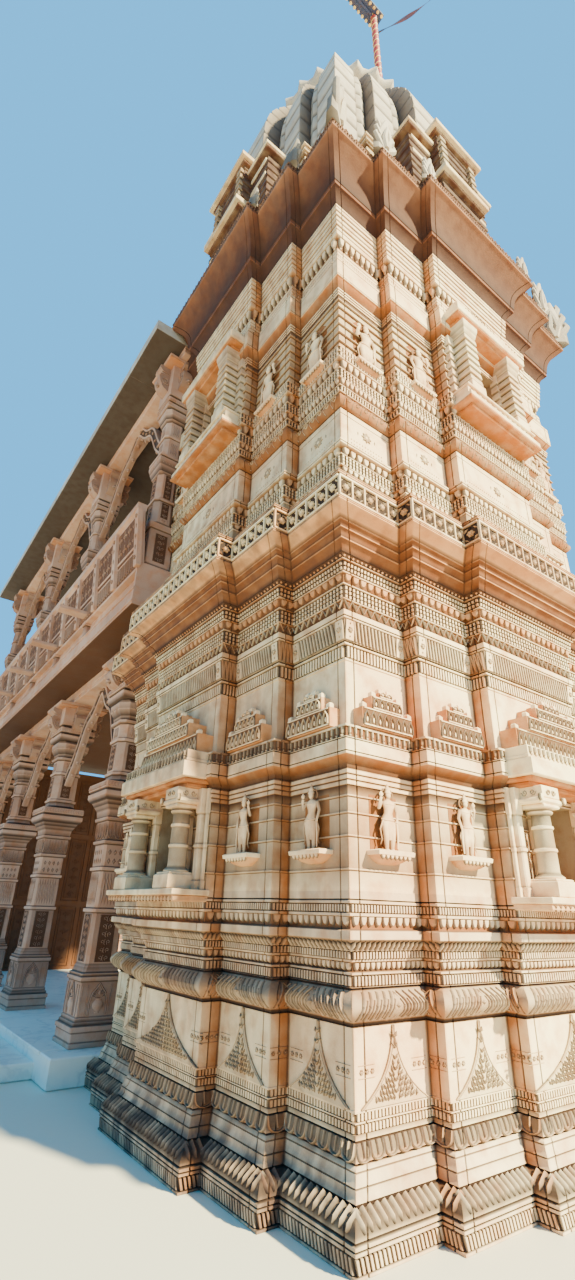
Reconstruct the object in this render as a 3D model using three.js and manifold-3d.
// A carved sandstone temple: a square two-storey shrine tower with stepped faces, coved eaves and a
// curved spire, and the open pillared hall of two storeys that adjoins it.
// Millimetres, +Z up. The tower's front faces -Y, the hall runs on along +Y behind it.
import * as THREE from "three";
import { mergeVertices } from "three/addons/utils/BufferGeometryUtils.js";
import Module from "manifold-3d";

const wasm = await Module();
wasm.setup();

// The tower's plan: each face has a corner, a first and a centre projection, mirrored about its middle.
const TOWER_HALF = 1935;
const CORNER_WIDTH = 642;
const SIDE_WIDTH = 654;
const SIDE_STEP = 146;
const CENTRE_STEP = 300;
const SIDE_EDGE = TOWER_HALF - CORNER_WIDTH;
const CENTRE_EDGE = SIDE_EDGE - SIDE_WIDTH;
const WALL_THICKNESS = 450;
const ROOM_HALF = TOWER_HALF - WALL_THICKNESS;
const MOULDED_GAP = 0.3;

// Heights where one course of the tower ends and the next begins.
const PLINTH_FOOT_TOP = 468;
const PLINTH_WALL_TOP = 1003;
const PLINTH_TOP = 1735;
const STATUE_WALL_TOP = 2500;
const FRIEZE_TOP = 4150;
const FIRST_EAVE_TOP = 4770;
const UPPER_PLINTH_TOP = 6690;
const UPPER_WALL_TOP = 7600;
const UPPER_FRIEZE_TOP = 8940;
const SECOND_EAVE_TIP = 9637;
const ROOF_TOP = 9900;

// Each outline is a list of [outward offset from the wall plane, height], from the bottom up.
const FOOT_OUTLINE = [
  [66, 0], [66, 125], [40, 130], [62, 190], [-24, 223], [-62, 300], [-88, 385], [-74, 397],
  [-100, PLINTH_FOOT_TOP],
];
const PLINTH_WALL_OUTLINE = [
  [-107, PLINTH_FOOT_TOP], [-107, PLINTH_WALL_TOP],
];
const PLINTH_CORNICE_OUTLINE = [
  [-106, PLINTH_WALL_TOP], [-12, 1072], [-10, 1125], [-84, 1200], [-84, 1325], [-50, 1350], [-50, 1405],
  [10, 1462], [10, 1512], [-66, 1524], [0, 1590], [0, PLINTH_TOP],
];
const STATUE_WALL_OUTLINE = [
  [0, PLINTH_TOP], [0, 2375], [20, 2385], [20, STATUE_WALL_TOP],
];
const FRIEZE_OUTLINE = [
  [20, STATUE_WALL_TOP], [24, 2535], [88, 2575], [88, 2695], [0, 2785], [0, 3365], [22, 3370], [48, 3620],
  [44, 3850], [66, 3856], [66, 3950], [130, 4066], [130, FRIEZE_TOP],
];
const FIRST_EAVE_OUTLINE = [
  [130, FRIEZE_TOP], [192, 4240], [228, 4305], [256, 4350], [358, 4412], [358, 4690], [70, 4735],
  [70, FIRST_EAVE_TOP],
];
const UPPER_PLINTH_OUTLINE = [
  [40, FIRST_EAVE_TOP], [40, 5110], [58, 5120], [58, 5245], [10, 5250], [10, 5366], [64, 5376], [64, 5420],
  [0, 5428], [0, 5885], [54, 5930], [54, 6030], [28, 6060], [48, 6225], [48, 6345], [10, 6352], [10, 6490],
  [54, 6498], [54, 6640], [22, 6650], [22, UPPER_PLINTH_TOP],
];
const UPPER_WALL_OUTLINE = [
  [0, UPPER_PLINTH_TOP], [0, UPPER_WALL_TOP],
];
const UPPER_FRIEZE_OUTLINE = [
  [10, UPPER_WALL_TOP], [76, 7712], [76, 8015], [24, 8050], [24, 8285], [6, 8292], [14, 8480], [62, 8496],
  [62, 8610], [82, 8620], [82, 8750], [100, 8762], [100, UPPER_FRIEZE_TOP],
];
const SECOND_EAVE_OUTLINE = [
  [100, UPPER_FRIEZE_TOP], [196, 9090], [196, 9150], [300, 9330], [433, SECOND_EAVE_TIP], [433, 9730],
  [60, 9850], [60, ROOF_TOP],
];

// The spire: plan scale against height, a stout bundle of upright ribs that bends in above its shoulder.
const SPIRE_TOP = 15950;
const SPIRE_OUTLINE = [
  [1, ROOF_TOP], [1, 13300], [0.992, 13600], [0.975, 13850], [0.95, 14100], [0.915, 14350], [0.87, 14600],
  [0.81, 14900], [0.74, 15250], [0.66, 15650], [0.6, SPIRE_TOP],
];
const SPIRE_WALL = 420;
const SPIRE_ROOF = 300;
// How far the ribs and the grooves between them stand from the spire's axis, and where along a face they end.
const RIB = { corner: 1790, side: 1940, centre: 2190, outerGroove: 1560, innerGroove: 1700 };
const RIB_EDGE = { corner: 1370, sideOuter: 1130, sideInner: 720, centre: 470 };

const STONE = { sunlit: 0xd9b48f, shaded: 0xb98a6c, soffit: 0xa8623c, grey: 0x9b938b, pale: 0xe3ddd0 };

// Solids

function solidOf(geometry) {
  const bare = geometry.clone();
  bare.deleteAttribute("normal");
  bare.deleteAttribute("uv");
  const merged = mergeVertices(bare, 1e-3);
  return new wasm.Manifold(
    new wasm.Mesh({
      numProp: 3,
      vertProperties: new Float32Array(merged.attributes.position.array),
      triVerts: new Uint32Array(merged.index.array),
    }),
  );
}

function geometryOf(solid) {
  const mesh = solid.getMesh();
  const positions = new Float32Array(mesh.triVerts.length * 3);
  mesh.triVerts.forEach((vertex, i) => {
    for (let axis = 0; axis < 3; axis++) {
      positions[i * 3 + axis] = mesh.vertProperties[vertex * mesh.numProp + axis];
    }
  });
  const geometry = new THREE.BufferGeometry();
  geometry.setAttribute("position", new THREE.BufferAttribute(positions, 3));
  geometry.computeVertexNormals();
  return geometry;
}

function box(x0, x1, y0, y1, z0, z1) {
  const geometry = new THREE.BoxGeometry(x1 - x0, y1 - y0, z1 - z0);
  geometry.translate((x0 + x1) / 2, (y0 + y1) / 2, (z0 + z1) / 2);
  return solidOf(geometry);
}

function joined(solids) {
  return solids.reduce((whole, solid) => whole.add(solid));
}

// A closed body through rings of the same number of points, given as { z, points } from the bottom up.
function loft(rings) {
  const count = rings[0].points.length;
  const vertices = rings.flatMap(({ z, points }) => points.flatMap(([x, y]) => [x, y, z]));
  const faces = [];
  for (let level = 0; level + 1 < rings.length; level++) {
    for (let i = 0; i < count; i++) {
      const a = level * count + i;
      const b = level * count + ((i + 1) % count);
      faces.push(a, b, b + count, a, b + count, a + count);
    }
  }
  const cap = (ring) =>
    THREE.ShapeUtils.triangulateShape(
      ring.points.map(([x, y]) => new THREE.Vector2(x, y)),
      [],
    );
  cap(rings[0]).forEach(([a, b, c]) => faces.push(a, c, b));
  const top = (rings.length - 1) * count;
  cap(rings[rings.length - 1]).forEach(([a, b, c]) => faces.push(top + a, top + b, top + c));
  const geometry = new THREE.BufferGeometry();
  geometry.setAttribute("position", new THREE.BufferAttribute(new Float32Array(vertices), 3));
  geometry.setIndex(faces);
  return solidOf(geometry);
}

// Turns a shape drawn for the front face (-Y) to another face of the tower: 0 front, 1 right, 2 rear, 3 left.
function turned(solid, quarter) {
  return solid.rotate([0, 0, 90 * quarter]);
}

// A ring from the points of its front face, turned to the other three faces in turn.
function fourFaces(front) {
  const ring = [];
  for (let quarter = 0; quarter < 4; quarter++) {
    const cos = [1, 0, -1, 0][quarter];
    const sin = [0, 1, 0, -1][quarter];
    front.forEach(([x, y]) => ring.push([x * cos - y * sin, x * sin + y * cos]));
  }
  return ring;
}

// The tower's stepped ring, each plane moved out by the offset.
function steppedRing(offset) {
  const corner = TOWER_HALF + offset;
  const side = TOWER_HALF + SIDE_STEP + offset;
  const centre = TOWER_HALF + CENTRE_STEP + offset;
  const sideEdge = SIDE_EDGE + offset;
  const centreEdge = CENTRE_EDGE + offset;
  const front = [
    [-corner, -corner], [-sideEdge, -corner], [-sideEdge, -side], [-centreEdge, -side], [-centreEdge, -centre],
    [centreEdge, -centre], [centreEdge, -side], [sideEdge, -side], [sideEdge, -corner],
  ];
  return fourFaces(front);
}

// The spire's ribbed ring, scaled about the middle, with every face moved out by the offset.
function ribbedRing(scale, offset = 0) {
  const [corner, side, centre, outerGroove, innerGroove] = [
    RIB.corner, RIB.side, RIB.centre, RIB.outerGroove, RIB.innerGroove,
  ].map((reach) => -(reach * scale + offset));
  const cornerEnd = -(RIB_EDGE.corner * scale - offset);
  const sideStart = -(RIB_EDGE.sideOuter * scale + offset);
  const sideEnd = -(RIB_EDGE.sideInner * scale - offset);
  const centreStart = -(RIB_EDGE.centre * scale + offset);
  const left = [
    [corner, corner], [cornerEnd, corner], [cornerEnd, outerGroove], [sideStart, outerGroove], [sideStart, side],
    [sideEnd, side], [sideEnd, innerGroove], [centreStart, innerGroove], [centreStart, centre],
  ];
  const right = left.slice(1).map(([x, y]) => [-x, y]).reverse();
  return fourFaces([...left, ...right]);
}

function course(outline, grow = 0) {
  return loft(outline.map(([offset, z]) => ({ z, points: steppedRing(offset + grow) })));
}

function hollowCourse(outline) {
  const bottom = outline[0][1];
  const top = outline[outline.length - 1][1];
  return course(outline).subtract(box(-ROOM_HALF, ROOM_HALF, -ROOM_HALF, ROOM_HALF, bottom - 1, top + 1));
}

// A post as a stack of chamfered squares: rows of [half width, chamfer, height].
function post(rows) {
  return loft(
    rows.map(([half, chamfer, z]) => {
      const inner = half - chamfer;
      return {
        z,
        points: [
          [-inner, -half], [inner, -half], [half, -inner], [half, inner],
          [inner, half], [-inner, half], [-half, inner], [-half, -inner],
        ],
      };
    }),
  );
}

// A flat outline of [along, height] points, made solid to a width across, running along Y or along X.
function plate(outline, width, alongX = false) {
  const shape = new THREE.Shape(outline.map(([along, height]) => new THREE.Vector2(along, height)));
  const geometry = new THREE.ExtrudeGeometry(shape, { depth: width, bevelEnabled: false, curveSegments: 6 });
  geometry.translate(0, 0, -width / 2);
  geometry.rotateX(Math.PI / 2);
  if (!alongX) geometry.rotateZ(Math.PI / 2);
  return solidOf(geometry);
}

// The whole tower as one mass, a hair larger, which trims every piece that is set against it.
const shell = joined(
  [
    FOOT_OUTLINE, PLINTH_WALL_OUTLINE, PLINTH_CORNICE_OUTLINE, STATUE_WALL_OUTLINE, FRIEZE_OUTLINE,
    FIRST_EAVE_OUTLINE, UPPER_PLINTH_OUTLINE, UPPER_WALL_OUTLINE, UPPER_FRIEZE_OUTLINE, SECOND_EAVE_OUTLINE,
  ].map((outline) => course(outline, MOULDED_GAP)),
);

const root = new THREE.Group();

function addNode(name, solid, color, roughness = 0.9, metalness = 0) {
  const material = new THREE.MeshStandardMaterial({ color, roughness, metalness });
  const mesh = new THREE.Mesh(geometryOf(solid), material);
  mesh.name = name;
  root.add(mesh);
}

// Openings in the tower

const WINDOW_HALF = 300;
const LOWER_SILL = 1780;
const LOWER_LINTEL = 2440;
const UPPER_SILL = 6740;
const UPPER_LINTEL = 7520;
const DOOR_HALF = 480;
const DOOR_TOP = 2250;
const CHAMBER_FLOOR = 300;
const FULL_DEPTH = 3000;

function windowCut(sill, lintel, quarter) {
  return turned(box(-WINDOW_HALF, WINDOW_HALF, -FULL_DEPTH, -ROOM_HALF + 50, sill, lintel), quarter);
}

const doorCut = box(-DOOR_HALF, DOOR_HALF, ROOM_HALF - 50, FULL_DEPTH, CHAMBER_FLOOR, DOOR_TOP);

// Tower courses

const FACES = { front: 0, right: 1, rear: 2, left: 3 };

function buildTower() {
  addNode("plinth_foot", hollowCourse(FOOT_OUTLINE).subtract(doorCut), STONE.grey);
  addNode("plinth_wall", hollowCourse(PLINTH_WALL_OUTLINE).subtract(doorCut), STONE.sunlit);
  addNode("plinth_cornice", hollowCourse(PLINTH_CORNICE_OUTLINE).subtract(doorCut), STONE.grey);
  let lowerWall = hollowCourse(STATUE_WALL_OUTLINE).subtract(doorCut);
  ["front", "right", "left"].forEach((face) => {
    lowerWall = lowerWall.subtract(windowCut(LOWER_SILL, LOWER_LINTEL, FACES[face]));
  });
  addNode("lower_wall", lowerWall, STONE.sunlit);
  addNode("lower_frieze", hollowCourse(FRIEZE_OUTLINE), STONE.sunlit);
  addNode("first_eave", hollowCourse(FIRST_EAVE_OUTLINE), STONE.soffit);
  addNode("upper_plinth", hollowCourse(UPPER_PLINTH_OUTLINE), STONE.sunlit);
  let upperWall = hollowCourse(UPPER_WALL_OUTLINE);
  Object.values(FACES).forEach((quarter) => {
    upperWall = upperWall.subtract(windowCut(UPPER_SILL, UPPER_LINTEL, quarter));
  });
  addNode("upper_wall", upperWall, STONE.sunlit);
  addNode("upper_frieze", hollowCourse(UPPER_FRIEZE_OUTLINE), STONE.sunlit);
  addNode("second_eave", hollowCourse(SECOND_EAVE_OUTLINE), STONE.soffit);
}

const UPPER_FLOOR_BOTTOM = 6100;
const UPPER_FLOOR_TOP = 6300;

function buildFloors() {
  addNode("chamber_floor", box(-ROOM_HALF, ROOM_HALF, -ROOM_HALF, ROOM_HALF, 0, CHAMBER_FLOOR), STONE.grey);
  addNode(
    "upper_room_floor",
    box(-ROOM_HALF, ROOM_HALF, -ROOM_HALF, ROOM_HALF, UPPER_FLOOR_BOTTOM, UPPER_FLOOR_TOP),
    STONE.grey,
  );
}

// Projecting windows: a sill, two small columns and a hood, joined as one frame before each opening.

const WINDOW_COLUMN_AT = 410;
const WINDOW_COLUMN_OUT = 60;
const CENTRE_PLANE = TOWER_HALF + CENTRE_STEP;

function windowColumn(x, y, rows) {
  return post(rows).translate([x, y, 0]);
}

function lowerWindow() {
  const y = -(CENTRE_PLANE + WINDOW_COLUMN_OUT + 85);
  const face = -(CENTRE_PLANE - 20);
  const rows = [
    [140, 10, PLINTH_TOP + 4], [140, 10, 1860], [76, 28, 1890], [70, 26, 2300], [110, 10, 2400],
    [110, 10, 2500],
  ];
  return joined([
    box(-660, 660, y - 145, face, PLINTH_TOP - 85, PLINTH_TOP + 5),
    windowColumn(-WINDOW_COLUMN_AT, y, rows),
    windowColumn(WINDOW_COLUMN_AT, y, rows),
    box(-640, 640, y - 130, face, 2480, 2545),
  ]);
}

function upperWindow() {
  const y = -(CENTRE_PLANE + WINDOW_COLUMN_OUT + 60);
  const face = -(CENTRE_PLANE - 20);
  const rows = [
    [120, 6, UPPER_PLINTH_TOP - 4], [120, 6, 6820], [95, 6, 6840], [95, 6, 7420], [115, 6, 7440],
    [115, 6, 7560], [90, 6, 7580], [90, 6, 7760],
  ];
  return joined([
    box(-640, 640, y - 150, face, 6440, 6540),
    box(-600, 600, y - 110, face, 6530, UPPER_PLINTH_TOP),
    windowColumn(-WINDOW_COLUMN_AT, y, rows),
    windowColumn(WINDOW_COLUMN_AT, y, rows),
    box(-640, 640, y - 150, face, 7750, 7840),
    box(-560, 560, y - 90, face, 7835, 7980),
  ]);
}

function buildWindows() {
  ["front", "right", "left"].forEach((face) => {
    addNode(`${face}_lower_window`, turned(lowerWindow(), FACES[face]).subtract(shell), STONE.sunlit);
  });
  Object.entries(FACES).forEach(([face, quarter]) => {
    addNode(`${face}_upper_window`, turned(upperWindow(), quarter).subtract(shell), STONE.sunlit);
  });
}

// Spire, crown and staff

const CROWN_HEIGHT = 1100;
// The flat ring on top of the crown, which the staff stands on.
const CROWN_SEAT = 640;

function spireBody(grow = 0) {
  return loft(SPIRE_OUTLINE.map(([scale, z]) => ({ z, points: ribbedRing(scale, grow) })));
}

function roofPavilion() {
  const back = -(RIB.innerGroove + 100);
  const wing = -(TOWER_HALF + 380);
  const front = -(TOWER_HALF + 520);
  return joined([
    box(-880, 880, wing, back, ROOF_TOP, 11750),
    box(-950, 950, wing - 90, back, 11740, 11870),
    box(-420, 420, front, back, ROOF_TOP, 12000),
    box(-480, 480, front - 110, back, 10850, 11000),
    box(-520, 520, front - 100, back, 11990, 12130),
    box(-300, 300, front + 40, back, 12120, 12330),
  ]).subtract(spireBody(MOULDED_GAP));
}

function buildSpire() {
  const hollow = SPIRE_OUTLINE.map(([scale, z], i) => {
    const half = RIB.corner * scale - SPIRE_WALL;
    const level = i === 0 ? z - 1 : Math.min(z, SPIRE_TOP - SPIRE_ROOF);
    return { z: level, points: [[-half, -half], [half, -half], [half, half], [-half, half]] };
  });
  addNode("spire", spireBody().subtract(loft(hollow)), STONE.pale);
  Object.entries(FACES).forEach(([face, quarter]) => {
    addNode(`${face}_roof_pavilion`, turned(roofPavilion(), quarter), STONE.sunlit);
  });
  const crown = new THREE.LatheGeometry(
    [
      [0, 0], [950, 0], [950, 180], [1420, 280], [1520, 420], [1420, 580], [1250, CROWN_SEAT], [760, CROWN_SEAT],
      [700, 760], [560, 900], [380, 980], [420, 1060], [0, CROWN_HEIGHT],
    ].map(([radius, z]) => new THREE.Vector2(radius, z)),
    24,
  );
  crown.rotateX(Math.PI / 2);
  crown.translate(0, 0, SPIRE_TOP);
  addNode("crown_disc", solidOf(crown), STONE.pale);
  const finial = new THREE.LatheGeometry(
    [
      [0, 0], [200, 0], [110, 90], [280, 260], [320, 400], [240, 560], [90, 640], [150, 700], [60, 800],
      [0, 1240],
    ].map(([radius, z]) => new THREE.Vector2(radius, z)),
    12,
  );
  finial.rotateX(Math.PI / 2);
  finial.translate(0, 0, SPIRE_TOP + CROWN_HEIGHT + MOULDED_GAP);
  addNode("kalasha_finial", solidOf(finial), 0xc9a24a, 0.4, 0.8);
}

const STAFF_X = 300;
const STAFF_Y = -930;
const STAFF_FOOT = SPIRE_TOP + CROWN_SEAT + MOULDED_GAP;
const STAFF_TOP = 21600;
const STAFF_RADIUS = 80;
const BELL_BOARD_Z = 21300;
const PENNANT_Z = 20380;
const PENNANT_LENGTH = 1150;
const PENNANT_REACH = 210;
const PENNANT_BEARING = -1.06;
const PENNANT_THICKNESS = 16;
const PENNANT_STEPS = 10;
// How far the pennant sags in its middle and lifts at its tip, and its half width at the ends and beyond that.
const PENNANT_SAG = 90;
const PENNANT_LIFT = 160;
const PENNANT_END_HALF = 25;
const PENNANT_SWELL = 75;

// Pushes a plate drawn along +X out from the staff's axis, towards the side where the pennant flies.
function fromStaff(solid) {
  return solid.rotate([0, 0, (PENNANT_BEARING * 180) / Math.PI]).translate([STAFF_X, STAFF_Y, 0]);
}

// The pennant: a narrow streamer that dips from its arm and lifts again towards its tip.
function pennant() {
  const middle = (t) => PENNANT_Z - PENNANT_SAG * Math.sin(Math.PI * t) + PENNANT_LIFT * t * t;
  const half = (t) => PENNANT_END_HALF + PENNANT_SWELL * Math.sin(Math.PI * Math.min(1, t * 1.1)) ** 2;
  const upper = [];
  const lower = [];
  for (let i = 0; i <= PENNANT_STEPS; i++) {
    const t = i / PENNANT_STEPS;
    const along = PENNANT_REACH + MOULDED_GAP + PENNANT_LENGTH * t;
    upper.push([along, middle(t) + half(t)]);
    lower.push([along, middle(t) - half(t)]);
  }
  return fromStaff(plate([...lower, ...upper.reverse()], PENNANT_THICKNESS, true));
}

function buildStaff() {
  const pole = new THREE.CylinderGeometry(STAFF_RADIUS, STAFF_RADIUS, STAFF_TOP - STAFF_FOOT, 10);
  pole.rotateX(Math.PI / 2);
  pole.translate(STAFF_X, STAFF_Y, (STAFF_TOP + STAFF_FOOT) / 2);
  const board = box(STAFF_X - 950, STAFF_X + 180, STAFF_Y - 170, STAFF_Y + 170, BELL_BOARD_Z, BELL_BOARD_Z + 50);
  const arm = fromStaff(box(0, PENNANT_REACH, -20, 20, PENNANT_Z - 25, PENNANT_Z + 25));
  addNode("flagstaff", solidOf(pole).add(board).add(arm), 0x8f2f28, 0.6);
  addNode("pennant", pennant(), 0x4a2c4c, 0.8);
}

// Hall

const HALL_FLOOR = 260;
const STEP_WIDTH = 800;
const STEP_START = 2425;
const STEP_END = 5425;
const HALL_FLOOR_HALF = 2365;
const HALL_START = 1925;
const HALL_END = 11300;
const STEP_HEIGHT = 150;
const PILLAR_X = 1835;
const PILLAR_FIRST = 2515;
const PILLAR_PITCH = 2750;
const BEAM_BOTTOM = 4750;
const SLAB_BOTTOM = 4950;
const SLAB_TOP = 5200;
const SLAB_HALF = 2535;
const SLAB_START = 1245;
const SEAT_BOTTOM = 5440;
const SEAT_TOP = 5560;
const SEAT_DEPTH = 540;
// How far in from the slab's edge the seat's stem stands, from its inner side to its outer.
const STEM_INNER = 180;
const STEM_OUTER = 80;
const RAIL_TOP = 6440;
const RAIL_HEIGHT = 100;
// Where the seat's back and its rail stand, outward from the slab's edge.
const BACK_TOP = { inner: 10, outer: 100 };
const RAIL = { inner: -5, outer: 125 };
const COLUMN_X = 2240;
const COLUMN_FIRST = 1515;
const COLUMN_PITCH = 3050;
const ROOF_BEAM_BOTTOM = 9300;
const ROOF_BOTTOM = 9450;
const ROOF_SLAB_TOP = 9650;
const ROOF_HALF = 2895;
const ROOF_START = 1045;
const ROOF_END = 11500;
const COUNT = 4;
const TORANA_THICKNESS = 140;
const TORANA_HALF = 95;
const TORANA_WAVE = 55;

// One arm of a bracket capital: a scroll that reaches out under the beam.
function bracket(reach, top, depth, width, alongX) {
  const outline = [
    [-reach, top], [-reach, top - depth * 0.35], [-reach * 0.85, top - depth * 0.6],
    [-reach * 0.6, top - depth * 0.62], [-reach * 0.45, top - depth * 0.9], [-reach * 0.25, top - depth],
    [reach * 0.25, top - depth], [reach * 0.45, top - depth * 0.9], [reach * 0.6, top - depth * 0.62],
    [reach * 0.85, top - depth * 0.6], [reach, top - depth * 0.35], [reach, top],
  ];
  return plate(outline, width, alongX);
}

function hallPillar() {
  const rows = [
    [270, 40, HALL_FLOOR], [270, 40, 480], [235, 50, 500], [235, 50, 930], [185, 60, 1010], [180, 70, 2300],
    [210, 60, 2700], [320, 20, 2900], [320, 20, 3020], [200, 60, 3060], [195, 70, 3800], [290, 20, 4140],
    [290, 20, 4680],
  ];
  return joined([
    post(rows),
    bracket(440, BEAM_BOTTOM - 60, 620, 240, true),
    bracket(440, BEAM_BOTTOM - 60, 620, 240, false),
    box(-400, 400, -400, 400, BEAM_BOTTOM - 70, BEAM_BOTTOM),
  ]);
}

function hallColumn() {
  const rows = [
    [190, 30, SEAT_TOP], [190, 30, 6300], [150, 50, 6330], [150, 50, 7200], [200, 20, 7400], [200, 20, 7480],
    [145, 50, 7520], [140, 50, 8200], [210, 20, 8460], [210, 20, 9240],
  ];
  return joined([
    post(rows),
    bracket(380, ROOF_BEAM_BOTTOM - 50, 700, 200, true),
    bracket(380, ROOF_BEAM_BOTTOM - 50, 700, 200, false),
    box(-330, 330, -330, 330, ROOF_BEAM_BOTTOM - 60, ROOF_BEAM_BOTTOM),
  ]);
}

// A seat with its back leaning out over the slab's edge: [outward, height], for an edge at this distance.
function seatSection(outer) {
  const railBottom = RAIL_TOP - RAIL_HEIGHT;
  return [
    [outer - STEM_INNER, SLAB_TOP], [outer - STEM_OUTER, SLAB_TOP], [outer - STEM_OUTER, SEAT_BOTTOM],
    [outer, SEAT_BOTTOM], [outer + BACK_TOP.outer, railBottom], [outer + RAIL.outer, railBottom],
    [outer + RAIL.outer, RAIL_TOP], [outer + RAIL.inner, RAIL_TOP], [outer + RAIL.inner, railBottom],
    [outer + BACK_TOP.inner, railBottom], [outer - STEM_OUTER, SEAT_TOP], [outer - SEAT_DEPTH, SEAT_TOP],
    [outer - SEAT_DEPTH, SEAT_BOTTOM], [outer - STEM_INNER, SEAT_BOTTOM],
  ];
}

// A carved arch in waves that hangs under a beam, its two feet against the pillars on either side.
function torana(span, springing, crown) {
  const steps = 16;
  const half = span / 2;
  const spine = [];
  for (let i = 0; i <= steps; i++) {
    const t = (2 * i) / steps - 1;
    const wave = TORANA_WAVE * Math.cos(Math.PI * 4 * t);
    spine.push([half * t, springing + (crown - springing) * (1 - Math.abs(t) ** 1.5) + wave - TORANA_WAVE]);
  }
  const upper = spine.map(([along, z]) => [along, z + TORANA_HALF]);
  const lower = spine.map(([along, z]) => [along, z - TORANA_HALF]).reverse();
  return plate([...upper, ...lower], TORANA_THICKNESS);
}

// A long beam on the left row of posts, with an arch under each bay.
function beamWithArches({ x, half, start, end, bottom, top, first, pitch, span, springing }) {
  const arches = [];
  for (let bay = 0; bay + 1 < COUNT; bay++) {
    arches.push(torana(span, springing, bottom).translate([-x, first + pitch * (bay + 0.5), 0]));
  }
  return joined([box(-x - half, -x + half, start, end, bottom, top), ...arches]).subtract(shell);
}

function addPair(name, leftSolid, color) {
  addNode(`${name}_left`, leftSolid, color);
  addNode(`${name}_right`, leftSolid.mirror([1, 0, 0]), color);
}

// The end wall's edge beside a pillar's base, shafts, collar and bracket, as [from the middle, height].
const END_WALL_EDGE = [
  [1560, HALL_FLOOR], [1560, 1015], [1640, 1025], [1640, 2250], [1510, 2680], [1510, 3065], [1625, 3075],
  [1625, 3780], [1390, 4060], [1390, BEAM_BOTTOM],
];
const END_WALL_THICKNESS = 300;

// The wall between the last two pillars, cut to their bases, collars and brackets.
function endWall() {
  const mirrored = END_WALL_EDGE.map(([x, z]) => [-x, z]).reverse();
  const wall = plate([...END_WALL_EDGE, ...mirrored], END_WALL_THICKNESS, true);
  return wall.translate([0, PILLAR_FIRST + PILLAR_PITCH * (COUNT - 1), 0]);
}

function buildHall() {
  addNode(
    "hall_platform",
    box(-HALL_FLOOR_HALF, HALL_FLOOR_HALF, HALL_START, HALL_END, 0, HALL_FLOOR).subtract(shell),
    STONE.pale,
    0.5,
  );
  [-1, 1].forEach((side) => {
    const name = side < 0 ? "left" : "right";
    const x = [side * HALL_FLOOR_HALF, side * (HALL_FLOOR_HALF + STEP_WIDTH)].sort((a, b) => a - b);
    addNode(`hall_step_${name}`, box(x[0], x[1], STEP_START, STEP_END, 0, STEP_HEIGHT), STONE.pale, 0.5);
    for (let i = 0; i < COUNT; i++) {
      const pillar = hallPillar().translate([side * PILLAR_X, PILLAR_FIRST + PILLAR_PITCH * i, 0]);
      addNode(`hall_pillar_${name}_${i + 1}`, i === 0 ? pillar.subtract(shell) : pillar, STONE.shaded);
      const column = hallColumn().translate([side * COLUMN_X, COLUMN_FIRST + COLUMN_PITCH * i, 0]);
      addNode(`hall_column_${name}_${i + 1}`, i === 0 ? column.subtract(shell) : column, STONE.shaded);
    }
  });
  addNode("hall_end_wall", endWall(), STONE.shaded);
  const floor = box(-SLAB_HALF, SLAB_HALF, SLAB_START, HALL_END, SLAB_BOTTOM, SLAB_TOP);
  addNode("hall_upper_floor", floor.subtract(shell), STONE.grey);
  addPair(
    "hall_floor_beam",
    beamWithArches({
      x: PILLAR_X, half: 200, start: HALL_START, end: HALL_END, bottom: BEAM_BOTTOM, top: SLAB_BOTTOM,
      first: PILLAR_FIRST, pitch: PILLAR_PITCH, span: PILLAR_PITCH - 404, springing: 3420,
    }),
    STONE.shaded,
  );
  const sideSection = seatSection(SLAB_HALF).map(([out, z]) => [-out, z]);
  const length = HALL_END - SLAB_START;
  const parapet = plate(sideSection, length, true).translate([0, SLAB_START + length / 2, 0]);
  addPair("hall_parapet", parapet.subtract(shell), STONE.shaded);
  const endWidth = 2 * (SLAB_HALF - SEAT_DEPTH - MOULDED_GAP);
  addNode("hall_parapet_end", plate(seatSection(HALL_END), endWidth), STONE.shaded);
  addPair(
    "hall_roof_beam",
    beamWithArches({
      x: COLUMN_X, half: 170, start: ROOF_START, end: ROOF_END - 300, bottom: ROOF_BEAM_BOTTOM, top: ROOF_BOTTOM,
      first: COLUMN_FIRST, pitch: COLUMN_PITCH, span: COLUMN_PITCH - 294, springing: 7820,
    }),
    STONE.shaded,
  );
  const roof = box(-ROOF_HALF, ROOF_HALF, ROOF_START, ROOF_END, ROOF_BOTTOM, ROOF_SLAB_TOP);
  addNode("hall_roof", roof.subtract(shell), STONE.grey);
}

buildTower();
buildFloors();
buildWindows();
buildSpire();
buildStaff();
buildHall();

export default root;
